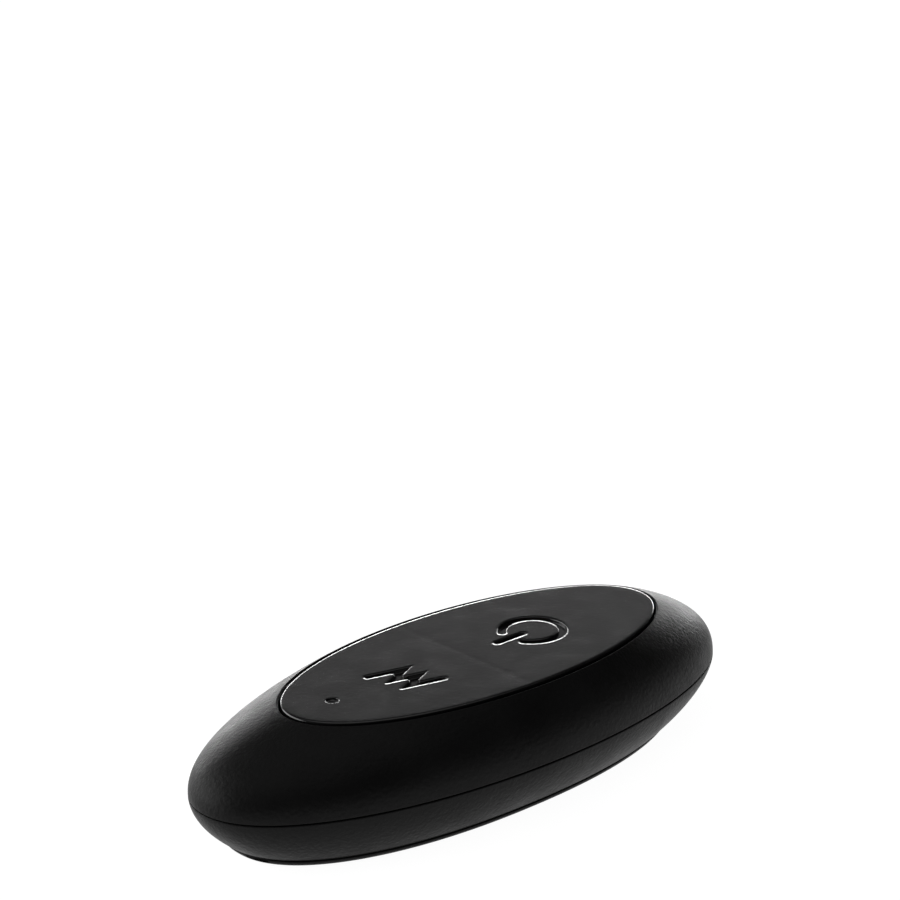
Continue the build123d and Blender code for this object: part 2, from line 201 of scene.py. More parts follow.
def rounded_box(centre, size, edge, turn=0.0):
    """Points and faces of a box with rounded upright edges and softened top and bottom."""
    half_x, half_y, half_z = (s / 2 for s in size)
    corner_steps = 4
    levels = [(-half_z, edge / 2), (-half_z + edge / 2, 0.0), (half_z - edge / 2, 0.0), (half_z, edge / 2)]
    rows = []
    for height, inset in levels:
        row = []
        for corner_x, corner_y, start in ((1, 1, 0), (-1, 1, 90), (-1, -1, 180), (1, -1, 270)):
            for step in range(corner_steps + 1):
                angle = math.radians(start + 90 * step / corner_steps)
                x = corner_x * (half_x - edge) + (edge - inset) * math.cos(angle)
                y = corner_y * (half_y - edge) + (edge - inset) * math.sin(angle)
                row.append((x, y, height))
        rows.append(np.array(row))
    points, faces = capped_rows(rows)
    cosine, sine = math.cos(turn), math.sin(turn)
    turned = np.stack([points[:, 0] * cosine - points[:, 1] * sine,
                       points[:, 0] * sine + points[:, 1] * cosine, points[:, 2]], 1)
    return turned + np.array(centre), faces


# ---------------------------------------------------------------- housing
def fullness(level, shape):
    """How far the outline reaches at a level, from 1 at the seam to 0 at the flat."""
    power, root = shape
    return (1 - level**power) ** root


def upper_row(level, inset=0.0, lift=0.0):
    """Ring on the upper housing's outside, moved inwards by inset; level runs from seam 0 to rim 1."""
    full = fullness(level, upper_fullness)
    rim_half_length = pad_half_length + pad_gap + rim_land_length
    rim_half_width = pad_half_width + pad_gap + rim_land_width
    start = seam_height + seam_gap / 2
    return ring_points(
        rim_half_length + (body_half_length - rim_half_length) * full - inset,
        rim_half_width + (body_half_width - rim_half_width) * full - inset,
        pad_centre * (1 - full),
        start + level * (rim_height - inset - start) + lift,
        2.0 + (body_power - 2.0) * full,
    )


def lower_row(level, inset=0.0, end_height=None, lift=0.0):
    """Ring on the lower housing's outside, moved inwards by inset; level runs from seam 0 to base 1."""
    full = fullness(level, lower_fullness)
    start = seam_height - seam_gap / 2
    end = base_height if end_height is None else end_height
    return ring_points(
        base_half_length + (body_half_length - base_half_length) * full - inset,
        base_half_width + (body_half_width - base_half_width) * full - inset,
        base_centre * (1 - full),
        start - level * (start - end) + lift,
        base_power + (body_power - base_power) * full,
    )


def seam_row(inset, height):
    """Ring at the seam's outline, moved inwards."""
    return ring_points(body_half_length - inset, body_half_width - inset, 0.0, height, body_power)


def opening_row(share, height):
    """Ring between the rim at share 0 and the pad's opening at share 1."""
    return ring_points(
        pad_half_length + pad_gap + rim_land_length * (1 - share),
        pad_half_width + pad_gap + rim_land_width * (1 - share),
        pad_centre,
        height,
    )


def level_steps(count, ease=1.6):
    """Levels from 0 to 1, closer together towards 1, where the outline turns fastest."""
    return [1 - (1 - i / count) ** ease for i in range(count + 1)]


def make_upper_housing():
    """Upper half: seam edge, outside, rim with its ledge, inside, and the rebate for the snap lip."""
    edge = 0.13 * MM
    lip_inset = 0.8 * MM
    lip_top = seam_height + 1.15 * MM
    bottom = seam_height + seam_gap / 2
    rows = [seam_row(lip_inset, bottom)]
    # rounded lower edge
    for angle in range(0, 91, 15):
        turn = math.radians(angle)
        rows.append(seam_row(edge * (1 - math.sin(turn)), bottom + edge * (1 - math.cos(turn))))
    # outer surface, up to just below the rim
    edge_level = edge / (rim_height - bottom)
    for level in level_steps(44):
        if edge_level * 1.5 < level < 0.985:
            rows.append(upper_row(level))
    rows.append(upper_row(0.992))
    # crest of the rim, then the ledge and the opening's edge: share of the way, and depth in mm
    for share, depth in ((-0.12, 0.012), (0.1, 0.004), (0.26, 0.03), (0.36, 0.08)):
        rows.append(opening_row(share, rim_height - depth * MM))
    for share, depth in ((0.4, -0.04), (0.5, 0.0), (0.8, 0.005), (0.95, 0.03), (1.0, 0.1)):
        rows.append(opening_row(share, rim_height - rim_ledge_depth - depth * MM))
    rows.append(opening_row(1.0, rim_height - wall))
    # inner surface, down to the rebate for the lower housing's lip
    for level in (0.78, 0.68, 0.56, 0.44, 0.32):
        rows.append(upper_row(level, wall))
    rows.append(seam_row(wall, lip_top))
    rows.append(seam_row(lip_inset, lip_top))
    points, faces = tube_of_rows(rows)
    return new_object("upper_housing", points, faces)


def notch_cutter(low, high, edge):
    """Small block at the finger notch, between two heights."""
    notch_x = cover_low.x + 0.4 * MM
    notch_y = -3.1 * MM
    notch_width = 2.9 * MM
    points, faces = rounded_box(
        (notch_x, notch_y, (low + high) / 2), (wall, notch_width, high - low), edge, math.radians(27.0)
    )
    return new_object("cutter", points, faces)


def make_lower_housing():
    """Lower half: seam edge, outside, cover recess, battery bay, inside, snap lip and tab slots."""
    edge = 0.13 * MM
    base_edge = 0.12 * MM
    lip_inset = 0.9 * MM
    lip_thickness = 0.7 * MM
    lip_top = seam_height + 1.0 * MM
    bead = 0.12 * MM
    recess_inset = 1.2 * MM
    top = seam_height - seam_gap / 2
    rows = [seam_row(lip_inset, top)]
    for angle in range(0, 91, 15):
        turn = math.radians(angle)
        rows.append(seam_row(edge * (1 - math.sin(turn)), top - edge * (1 - math.cos(turn))))
    edge_level = edge / (top - base_height)
    for level in level_steps(30, 1.4):
        if edge_level * 1.5 < level < 0.96:
            rows.append(lower_row(level))
    # rounded lower edge and the flat that the battery cover closes against
    rows.append(lower_row(1.0, 0.0, lift=base_edge))
    for angle in range(30, 91, 30):
        turn = math.radians(angle)
        rows.append(lower_row(1.0, base_edge * (1 - math.cos(turn)), lift=base_edge * (1 - math.sin(turn))))
    rows.append(lower_row(1.0, recess_inset - 0.08 * MM))
    rows.append(lower_row(1.0, recess_inset, lift=0.08 * MM))
    rows.append(lower_row(1.0, recess_inset, end_height=floor_bottom - 0.02 * MM))
    rows.append(lower_row(1.0, recess_inset + 0.05 * MM, end_height=floor_bottom))
    # recess ceiling, drawn in to the round battery bay, and the floor above it
    outer = lower_row(1.0, recess_inset + 0.05 * MM, end_height=floor_bottom)
    bay = ring_points(bay_radius + 0.15 * MM, bay_radius + 0.15 * MM, 0.0, floor_bottom)
    for share in (0.35, 0.7, 1.0):
        rows.append(outer * (1 - share) + bay * share)
    rows.append(ring_points(bay_radius, bay_radius, 0.0, floor_bottom + 0.15 * MM))
    rows.append(ring_points(bay_radius, bay_radius, 0.0, floor_top))
    inner = lower_row(1.0, wall, end_height=floor_top)
    bay = ring_points(bay_radius, bay_radius, 0.0, floor_top)
    for share in (0.35, 0.7, 1.0):
        rows.append(bay * (1 - share) + inner * share)
    for level in (0.9, 0.75, 0.55, 0.35, 0.15):
        rows.append(lower_row(level, wall, end_height=floor_top))
    inner_lip = lip_inset + lip_thickness
    # snap lip: up its inner side, over its top, and down past the bead
    for inset, height in (
        (inner_lip, seam_height - 0.8 * MM), (inner_lip, lip_top - 0.1 * MM),
        (inner_lip - 0.1 * MM, lip_top), (lip_inset + 0.15 * MM, lip_top),
        (lip_inset, lip_top - 0.15 * MM), (lip_inset, seam_height + 0.65 * MM),
        (lip_inset - bead, seam_height + 0.55 * MM), (lip_inset - bead, seam_height + 0.45 * MM),
        (lip_inset, seam_height + 0.35 * MM),
    ):
        rows.append(seam_row(inset, height))
    points, faces = tube_of_rows(rows)
    piece = new_object("lower_housing", points, faces)
    cutters = [notch_cutter(base_height - wall, base_height + 0.38 * MM, 0.2 * MM)]
    for side in (-1, 1):
        slot_points, slot_faces = rounded_box(
            (base_centre + side * tab_reach, 0, (floor_bottom + floor_top) / 2),
            (1.4 * MM, 5.4 * MM, 4 * MM), 0.2 * MM,
        )
        cutters.append(new_object("cutter", slot_points, slot_faces))
    cut(piece, cutters)
    return piece


def base_row(inset, height, share=1.0):
    """Ring at the cover's outline, moved inwards by inset and then shrunk to a share."""
    return ring_points(
        (base_half_length - inset) * share,
        (base_half_width - inset) * share,
        base_centre,
        height,
        base_power,
    )


def make_battery_lid():
    """Cover with a quarter-round edge, a spigot, a ring round the cell, three ribs and two snap tabs."""
    flat_inset = 1.5 * MM
    spigot_inset = 1.4 * MM
    top = base_height - 0.05 * MM
    edge = 0.1 * MM
    rows = [base_row(flat_inset, 0.0, share) for share in (0.02, 0.2, 0.45, 0.7, 0.9)]
    for angle in range(0, 91, 9):
        turn = math.radians(angle)
        rows.append(base_row(flat_inset * (1 - math.sin(turn)), (top - edge) * (1 - math.cos(turn))))
    for angle in range(30, 91, 30):
        turn = math.radians(angle)
        rows.append(base_row(edge * (1 - math.cos(turn)), top - edge * (1 - math.sin(turn))))
    spigot_top = floor_bottom - 0.1 * MM
    for inset, height in ((spigot_inset - 0.05 * MM, top), (spigot_inset, top + 0.05 * MM),
                          (spigot_inset, spigot_top - 0.08 * MM), (spigot_inset + 0.08 * MM, spigot_top)):
        rows.append(base_row(inset, height))
    rows += [base_row(spigot_inset, spigot_top, share) for share in (0.8, 0.5, 0.2, 0.02)]
    parts = [capped_rows(rows)]
    # ring that centres the cover round the cell, with rounded top edges
    ring_outer = bay_radius - 0.2 * MM
    ring_inner = 10.2 * MM
    ring_top = floor_top - 0.1 * MM
    ring_bottom = spigot_top - 0.3 * MM
    soft = 0.08 * MM
    ring_rows = []
    for radius, height in ((ring_outer, ring_bottom), (ring_outer, ring_top - soft),
                           (ring_outer - soft, ring_top), (ring_inner + soft, ring_top),
                           (ring_inner, ring_top - soft), (ring_inner, ring_bottom)):
        ring_rows.append(ring_points(radius, radius, 0.0, height, 2.0, 144))
    parts.append(tube_of_rows(ring_rows))
    # ribs below the cell, and the two snap tabs
    rib_bottom = spigot_top - 0.3 * MM
    rib_top = cell_low.z - 0.05 * MM
    for place in (-1, 0, 1):
        parts.append(rounded_box(
            (0, place * 5.0 * MM, (rib_bottom + rib_top) / 2),
            (10.0 * MM, 1.0 * MM, rib_top - rib_bottom), 0.15 * MM))
    tab_top = 3.6 * MM
    for side in (-1, 1):
        parts.append(rounded_box(
            (base_centre + side * tab_reach, 0, (rib_bottom + tab_top) / 2),
            (1.0 * MM, 5.0 * MM, tab_top - rib_bottom), 0.2 * MM))
    points, faces = merged(parts)
    piece = new_object("battery_lid", points, faces)
    cut(piece, [notch_cutter(base_height - 0.46 * MM, base_height + wall, 0.2 * MM)])
    return piece


def make_indicator_lens():
    """Round rod with a flange under the key's plate and a dished, slightly sunk top."""
    radius = (pipe_high.y - pipe_low.y) / 2
    rod_radius = indicator_radius - 0.06 * MM
    top = pad_top - 0.16 * MM
    flange_top = plate_low.z
    flange_bottom = flange_top - 0.9 * MM
    edge, dish = 0.08 * MM, 0.12 * MM
    section = [
        (rod_radius * 0.5, pipe_low.z), (rod_radius - edge, pipe_low.z), (rod_radius, pipe_low.z + edge),
        (rod_radius, flange_bottom), (radius - edge, flange_bottom), (radius, flange_bottom + edge),
        (radius, flange_top - edge), (radius - edge, flange_top), (rod_radius, flange_top),
    ]
    for turn in np.radians(np.arange(0, 91, 15)):
        section.append((rod_radius - edge * (1 - math.cos(turn)), top - edge * (1 - math.sin(turn))))
    inner = rod_radius - edge
    for share in (0.9, 0.75, 0.55, 0.35, 0.15, 0.03):
        section.append((inner * share, top - dish * (1 - share**2)))
    rows = [ring_points(r, r, indicator_x, z, 2.0, window_points) for r, z in section]
    return new_object("indicator_lens", *capped_rows(rows))


# ---------------------------------------------------------------- outlines of the pressed symbols
def rounded_outline(corners, radii, step_degrees=15.0):
    """Closed outline with an arc at each corner."""
    outline = []
    count = len(corners)
    for i in range(count):
        before, here, after = (np.array(corners[(i + k) % count], float) for k in (-1, 0, 1))
        towards_before = (before - here) / np.linalg.norm(before - here)
        towards_after = (after - here) / np.linalg.norm(after - here)
        half_angle = math.acos(max(-1.0, min(1.0, float(towards_before @ towards_after)))) / 2
        bisector = towards_before + towards_after
        bisector /= np.linalg.norm(bisector)
        centre = here + bisector * radii[i] / math.sin(half_angle)
        start = here + towards_before * radii[i] / math.tan(half_angle) - centre
        end = here + towards_after * radii[i] / math.tan(half_angle) - centre
        first = math.atan2(start[1], start[0])
        sweep = (math.atan2(end[1], end[0]) - first + math.pi) % (2 * math.pi) - math.pi
        steps = max(2, int(abs(math.degrees(sweep)) / step_degrees))
        for k in range(steps + 1):
            angle = first + sweep * k / steps
            outline.append(centre + radii[i] * np.array([math.cos(angle), math.sin(angle)]))
    return np.array(outline)


def resampled(outline, spacing):
    """Points evenly spaced along a closed outline, anticlockwise."""
    x, y = outline[:, 0], outline[:, 1]
    if np.sum(x * np.roll(y, -1) - np.roll(x, -1) * y) < 0:
        outline = outline[::-1]
    closed = np.vstack([outline, outline[:1]])
    lengths = np.concatenate([[0], np.cumsum(np.linalg.norm(np.diff(closed, axis=0), axis=1))])
    count = int(lengths[-1] / spacing)
    at = np.arange(count) * lengths[-1] / count
    return np.stack([np.interp(at, lengths, closed[:, 0]), np.interp(at, lengths, closed[:, 1])], 1)


def square_lattice(pitch, shift):
    """Evenly spaced points that cover the pad."""
    along = np.arange(-28 * MM, 30 * MM, pitch) + shift
    across = np.arange(-12 * MM, 12 * MM, pitch) + shift
    x, y = np.meshgrid(along, across)
    return np.stack([x.ravel(), y.ravel()], 1)


def outward_normals(outline):
    """Unit normals of a closed anticlockwise outline."""
    along = np.roll(outline, -1, 0) - np.roll(outline, 1, 0)
    along /= np.linalg.norm(along, axis=1)[:, None]
    return np.stack([along[:, 1], -along[:, 0]], 1)


def signed_distance(points, outlines):
    """Distance from points to the nearest of some closed outlines, negative inside."""
    nearest = np.full(len(points), 1.0)
    inside = np.zeros(len(points), bool)
    for outline in outlines:
        starts, ends = outline, np.roll(outline, -1, 0)
        crossings = np.zeros(len(points), bool)
        for (x0, y0), (x1, y1) in zip(starts, ends):
            edge = np.array([x1 - x0, y1 - y0])
            share = ((points[:, 0] - x0) * edge[0] + (points[:, 1] - y0) * edge[1]) / (edge @ edge)
            share = np.clip(share, 0, 1)
            gap = np.hypot(points[:, 0] - x0 - share * edge[0], points[:, 1] - y0 - share * edge[1])
            nearest = np.minimum(nearest, gap)
            if y0 != y1:
                spans = (points[:, 1] > min(y0, y1)) & (points[:, 1] <= max(y0, y1))
                crossings ^= spans & (points[:, 0] < x0 + (points[:, 1] - y0) * edge[0] / edge[1])
        inside |= crossings
    return np.where(inside, -nearest, nearest)


def leaning_edge(lean_width, radius, last_tilt):
    """Across and down from a flat face over its edge: a gentle lean, then an arc to the last tilt."""
    lean, ease = 10.5, 0.02 * MM
    across = [0.0, ease, ease + lean_width]
    down = [0.0, ease * math.tan(math.radians(lean / 2))]
    down.append(down[-1] + lean_width * math.tan(math.radians(lean)))
    steps = 9
    tilts = np.radians(np.linspace(lean, last_tilt, steps + 1))
    for tilt in tilts[1:]:
        across.append(across[2] + radius * (math.sin(tilt) - math.sin(tilts[0])))
        down.append(down[2] + radius * (math.cos(tilts[0]) - math.cos(tilt)))
    return across, down


def groove_profile():
    """Distance inside a symbol's outline and depth there, from the edge down the wall to the floor."""
    wall_tilt, fillet = 82.0, 0.1 * MM
    across, down = leaning_edge(0.21 * MM, 0.17 * MM, wall_tilt)
    wall_drop = groove_depth - down[-1] - fillet
    across.append(across[-1] + wall_drop / math.tan(math.radians(wall_tilt)))
    down.append(down[-1] + wall_drop)
    corner_across, corner_down = across[-1], down[-1]
    tilts = np.radians(np.linspace(wall_tilt, 0.0, 5))
    for tilt in tilts[1:]:
        across.append(corner_across + fillet * (math.sin(tilts[0]) - math.sin(tilt)))
        down.append(corner_down + fillet * (math.cos(tilt) - math.cos(tilts[0])))
    return np.array(across), np.array(down)


# the outline of a groove lies where its lean starts, and the profile runs inwards from there
groove_half_width = 0.85 * MM
groove_depth = 0.5 * MM
groove_across, groove_down = groove_profile()
rim_across, rim_down = leaning_edge(0.14 * MM, 0.26 * MM, 90.0)


def power_outlines():
    """Open ring with its gap towards the indicator, and a bar through the gap."""
    radius, opening = 3.5 * MM, math.radians(32.0)
    ring_centre = np.array([power_x - 0.08 * MM, -0.29 * MM])
    first, last = opening - math.pi, math.pi - opening
    outer = [(radius + groove_half_width, a) for a in np.linspace(first, last, 80)]
    inner = [(radius - groove_half_width, a) for a in np.linspace(last, first, 60)]
    turns = np.radians(np.arange(12, 180, 12))

    def cap(end, start_turn):
        middle = radius * np.array([math.cos(end), math.sin(end)])
        angles = end + start_turn + turns
        return [middle + groove_half_width * np.array([math.cos(a), math.sin(a)]) for a in angles]

    points = [r * np.array([math.cos(a), math.sin(a)]) for r, a in outer]
    points += cap(last, 0.0)
    points += [r * np.array([math.cos(a), math.sin(a)]) for r, a in inner]
    points += cap(first, math.pi)
    bar_start, bar_end, bar_y, half = 3.7 * MM, 9.05 * MM, -0.32 * MM, 0.72 * MM
    corners = [(bar_start, bar_y - half), (bar_end, bar_y - half),
               (bar_end, bar_y + half), (bar_start, bar_y + half)]
    bar = rounded_outline(corners, [half * 0.98] * 4)
    return [resampled(np.array(points) + ring_centre, 0.08 * MM), resampled(bar, 0.08 * MM)]


def wave_outlines():
    """Zigzag of five strokes, pointed towards the power key and round towards the indicator."""
    stroke = np.array([3.1, -0.83]) * MM
    back = np.array([-2.85, -1.48]) * MM
    first_turn = np.array([-7.85, 1.15]) * MM
    turns = [first_turn, first_turn + back, first_turn + back + stroke, first_turn + 2 * back + stroke]
    path = [turns[0] - 1.59 * stroke, *turns, turns[-1] + 1.54 * stroke]
    half, sharp = 0.7 * MM, 0.05 * MM
    sides = {1: [], -1: []}
    for i, point in enumerate(path):
        normals = []
        for a, b in ((i - 1, i), (i, i + 1)):
            if a >= 0 and b < len(path):
                along = (path[b] - path[a]) / np.linalg.norm(path[b] - path[a])
                normals.append(np.array([-along[1], along[0]]))
        mitre = normals[0] if len(normals) == 1 else sum(normals) / (1 + normals[0] @ normals[1])
        for side in sides:
            sides[side].append(point + side * half * mitre)
    end_radius = half * 0.95
    left_radii = [end_radius, sharp, sharp, sharp, sharp, end_radius]
    right_radii = [end_radius, sharp, half / 2, sharp, half / 2, end_radius]
    corners = sides[1] + sides[-1][::-1]
    return [resampled(rounded_outline(corners, left_radii + right_radii[::-1]), 0.08 * MM)]


def crease_height(x):
    """Shallow soft valley across the pad, where it bends over the bridge."""
    depth, reach = 0.018 * MM, 0.5 * MM
    return -depth * np.exp(-((x - hinge_x) / reach) ** 2)


def make_pad_skin(name, side, outlines, window=None):
    """Half of the pad's skin: side 1 towards +X or -1 towards -X, with its symbol pressed in."""
    rim_steps = 200
    rim_inset = rim_across[-1]
    flat_half_length, flat_half_width = pad_half_length - rim_inset, pad_half_width - rim_inset
    window_round = 0.12 * MM
    # the rounding starts upright, so a rim vertex a hair off the circle would not meet the hole's wall
    weld_margin = 0.00002 * MM

    def rim_row(inset, height):
        half_length, half_width = pad_half_length - inset, pad_half_width - inset
        limit = math.acos((hinge_x - pad_centre) / half_length * side)
        angles = np.linspace(-limit, limit, rim_steps + 1)
        x = pad_centre + side * half_length * np.cos(angles)
        return np.stack([x, half_width * np.sin(angles), np.full(len(x), height)], 1)

    def surface(points):
        height = crease_height(points[:, 0])
        if window is not None:
            from_hole = np.hypot(points[:, 0] - window[0], points[:, 1]) - window[1]
            gap = np.clip(from_hole - weld_margin, 0, window_round)
            height += np.sqrt(window_round**2 - (window_round - gap) ** 2) - window_round
        return height - np.interp(-signed_distance(points, outlines), groove_across, groove_down)

    top_edge = rim_row(rim_inset, 0.0)[:, :2]
    seam_y = np.linspace(top_edge[-1, 1], top_edge[0, 1], 90)[1:-1]
    seam_line = np.stack([np.full(len(seam_y), hinge_x), seam_y], 1)
    boundary = np.vstack([top_edge, seam_line])
    # rows beside the symbols' outlines: a little outside, and at each step of the profile
    loose = []
    offsets = [0.6 * MM, 0.3 * MM, 0.12 * MM, 0.03 * MM] + list(-groove_across)
    for outline in outlines:
        normals = outward_normals(outline)
        for offset in offsets:
            points = outline + normals * offset
            gap = signed_distance(points, outlines)
            points = points[np.abs(gap - offset) < 0.004 * MM]
            loose.append(points[::3] if offset > 0.2 * MM else points)
    # rows beside the crease, and a plain lattice over the rest
    for away in (0.1, 0.2, 0.3, 0.42, 0.56, 0.75, 1.05, 1.5):
        x = hinge_x + side * away * MM
        reach = flat_half_width * math.sqrt(1 - ((x - pad_centre) / flat_half_length) ** 2)
        y = np.linspace(-reach, reach, 60)[1:-1]
        loose.append(np.stack([np.full(len(y), x), y], 1))
    lattice = square_lattice(0.55 * MM, 0.0)
    radius = np.hypot((lattice[:, 0] - pad_centre) / flat_half_length, lattice[:, 1] / flat_half_width)
    keep = (radius < 0.975) & (side * (lattice[:, 0] - hinge_x) > 1.8 * MM)
    keep &= signed_distance(lattice, outlines) > 0.8 * MM
    if window is not None:
        keep &= np.hypot(lattice[:, 0] - window[0], lattice[:, 1]) > window[1] + 0.5 * MM
        for grow in (0.0, 0.015, 0.04, 0.08, 0.12, 0.3):
            grown = window[1] + grow * MM
            loose.append(ring_points(grown, grown, window[0], 0.0, 2.0, window_points)[:, :2])
    loose.append(lattice[keep])
    floor = square_lattice(0.15 * MM, 0.02 * MM)
    loose.append(floor[signed_distance(floor, outlines) < -groove_across[-1] - 0.03 * MM])
    flat = np.vstack([boundary] + loose) / MM
    edges = [(i, (i + 1) % len(boundary)) for i in range(len(boundary))]
    coords, _, triangles, _, _, _ = geometry.delaunay_2d_cdt([Vector(p) for p in flat], edges, [], 1, 1e-5)
    top = np.array([tuple(c) for c in coords]) * MM
    middles = top[np.array(triangles)].mean(1)
    faces = [tuple(t) for t in triangles]
    if window is not None:
        open_hole = np.hypot(middles[:, 0] - window[0], middles[:, 1]) < window[1] * 0.999
        faces = [face for face, hollow in zip(faces, open_hole) if not hollow]
    parts = [(np.column_stack([top, pad_top + surface(top)]), faces)]
    # edge over the rim and down the side, then the straight side at the crease, and the underside
    rows = []
    for across, down in zip(rim_across, rim_down):
        row = rim_row(rim_inset - across, pad_top - down)
        row[:, 2] += crease_height(row[:, 0])
        rows.append(row)
    rows.append(rim_row(0.0, pad_bottom))
    count = rim_steps + 1
    side_faces = []
    for k in range(len(rows) - 1):
        for i in range(rim_steps):
            a, b = k * count + i, (k + 1) * count + i
            side_faces.append((a, b, b + 1, a + 1))
    parts.append((np.concatenate(rows), side_faces))
    seam_top = np.column_stack([seam_line, pad_top + crease_height(seam_line[:, 0])])
    outer = [row[-1] for row in reversed(rows)] + list(seam_top) + [row[0] for row in rows]
    parts.append((np.array(outer), [tuple(range(len(outer)))]))
    bottom = rim_row(0.0, pad_bottom)
    if window is None:
        parts.append((bottom, [tuple(range(len(bottom)))]))
    else:
        hole = ring_points(window[1], window[1], window[0], pad_bottom, 2.0, window_points)
        loops = [[Vector(p) for p in bottom], [Vector(p) for p in hole]]
        parts.append((np.vstack([bottom, hole]), geometry.tessellate_polygon(loops)))
        hole_top = hole.copy()
        hole_top[:, 2] = pad_top + surface(hole[:, :2])
        parts.append((np.vstack([hole_top, hole]), rows_to_faces(2, window_points)))
    points, faces = merged(parts)
    return new_object(name, points, faces, 50.0)


# ---------------------------------------------------------------- materials
def node_material(name):
    """New material with its nodes, links and shader."""
    material = bpy.data.materials.new(name)
    material.use_nodes = True
    nodes = material.node_tree.nodes
    return material, nodes, material.node_tree.links, nodes["Principled BSDF"]


def noise(nodes, links, scale, detail=4.0, roughness=0.5, stretch=None):
    """Noise over the object's own coordinates; scale is in features per metre."""
    place = nodes.new("ShaderNodeTexCoord")
    texture = nodes.new("ShaderNodeTexNoise")
    texture.inputs["Scale"].default_value = scale
    texture.inputs["Detail"].default_value = detail
    texture.inputs["Roughness"].default_value = roughness
    if stretch is None:
        links.new(place.outputs["Object"], texture.inputs["Vector"])
    else:
        mapping = nodes.new("ShaderNodeMapping")
        mapping.inputs["Scale"].default_value = stretch
        links.new(place.outputs["Object"], mapping.inputs["Vector"])
        links.new(mapping.outputs["Vector"], texture.inputs["Vector"])
    return texture.outputs["Fac"]


def ramp(nodes, links, source, stops):
    """Colour ramp from (place, value or colour) stops."""
    node = nodes.new("ShaderNodeValToRGB")
    elements = node.color_ramp.elements
    while len(elements) < len(stops):
        elements.new(0.5)
    for element, (place, colour) in zip(elements, stops):
        element.position = place
        if isinstance(colour, (int, float)):
            colour = (colour, colour, colour)
        element.color = (*colour, 1.0)
    links.new(source, node.inputs["Fac"])
    return node.outputs["Color"]


def blend_colours(nodes, links, how, first, second):
    """Two colours blended at full strength."""
    mix = nodes.new("ShaderNodeMix")
    mix.data_type = "RGBA"
    mix.blend_type = how
    mix.inputs["Factor"].default_value = 1.0
    links.new(first, mix.inputs["A"])
    links.new(second, mix.inputs["B"])
    return mix.outputs["Result"]


def bumps(nodes, links, sources):
    """Bump nodes in a chain; each source is (height, strength, distance)."""
    normal = None
    for height, strength, distance in sources:
        node = nodes.new("ShaderNodeBump")
        node.inputs["Strength"].default_value = strength
        node.inputs["Distance"].default_value = distance
        links.new(height, node.inputs["Height"])
        if normal is not None:
            links.new(normal, node.inputs["Normal"])
        normal = node.outputs["Normal"]
    return normal


def soft_touch_black():
    """Soft-touch coating: fine leather-like mottle over slow changes of gloss."""
    material, nodes, links, shader = node_material("soft_touch_black")
    tone = ramp(nodes, links, noise(nodes, links, 90, 3), [(0.3, 0.005), (0.75, 0.009)])
    links.new(tone, shader.inputs["Base Color"])
    gloss = ramp(nodes, links, noise(nodes, links, 260, 5, 0.6), [(0.3, 0.36), (0.7, 0.48)])
    links.new(gloss, shader.inputs["Roughness"])
    leather = noise(nodes, links, 2100, 4, 0.6)
    swell = noise(nodes, links, 320, 2, 0.5)
    grain = noise(nodes, links, 3600, 2, 0.5)
    links.new(bumps(nodes, links, [(swell, 0.3, 0.06 * MM), (leather, 1.0, 0.08 * MM),
                                   (grain, 0.6, 0.008 * MM)]), shader.inputs["Normal"])
    shader.inputs["IOR"].default_value = 1.18
    return material


def pad_graphite():
    """Satin skin with faint specks and long light scuffs."""
    material, nodes, links, shader = node_material("pad_graphite")
    specks = ramp(nodes, links, noise(nodes, links, 1500, 2, 0.5), [(0.70, 0.0), (0.78, 1.0)])
    marks = noise(nodes, links, 420, 5, 0.7, (0.12, 1.6, 1.0))
    scuffs = ramp(nodes, links, marks, [(0.60, 0.0), (0.72, 1.0)])
    wear = blend_colours(nodes, links, "ADD", specks, scuffs)
    cloud = ramp(nodes, links, noise(nodes, links, 420, 9, 0.85), [(0.3, 0.001), (0.7, 0.016)])
    worn = ramp(nodes, links, wear, [(0.0, 0.0), (1.0, 0.015)])
    links.new(blend_colours(nodes, links, "ADD", cloud, worn), shader.inputs["Base Color"])
    gloss = ramp(nodes, links, noise(nodes, links, 300, 5, 0.6), [(0.3, 0.09), (0.7, 0.18)])
    links.new(gloss, shader.inputs["Roughness"])
    grain = noise(nodes, links, 2600, 3, 0.5)
    links.new(bumps(nodes, links, [(grain, 0.9, 0.025 * MM)]), shader.inputs["Normal"])
    shader.inputs["Specular IOR Level"].default_value = 0.5
    return material


def moulded_plastic(name, dark, light, roughness, grain_depth=0.004):
    """Moulded plastic with cloudy colour and fine spark-eroded grain."""
    material, nodes, links, shader = node_material(name)
    tone = ramp(nodes, links, noise(nodes, links, 400, 4), [(0.3, dark), (0.7, light)])
    links.new(tone, shader.inputs["Base Color"])
    cloud = noise(nodes, links, 900, 4)
    gloss = ramp(nodes, links, cloud, [(0.3, roughness - 0.05), (0.7, roughness + 0.05)])
    links.new(gloss, shader.inputs["Roughness"])
    grain = noise(nodes, links, 6000, 3)
    links.new(bumps(nodes, links, [(grain, 0.4, grain_depth * MM)]), shader.inputs["Normal"])
    return material


def plated_metal(name, dark, light, roughness, stretch=(1.0, 1.0, 1.0)):
    """Plated metal with rolling or brushing marks along one direction."""
    material, nodes, links, shader = node_material(name)
    marks = noise(nodes, links, 2500, 6, 0.65, stretch)
    links.new(ramp(nodes, links, marks, [(0.3, dark), (0.7, light)]), shader.inputs["Base Color"])
    gloss = ramp(nodes, links, marks, [(0.3, roughness - 0.06), (0.7, roughness + 0.08)])
    links.new(gloss, shader.inputs["Roughness"])
    links.new(bumps(nodes, links, [(marks, 0.25, 0.003 * MM)]), shader.inputs["Normal"])
    shader.inputs["Metallic"].default_value = 1.0
    return material


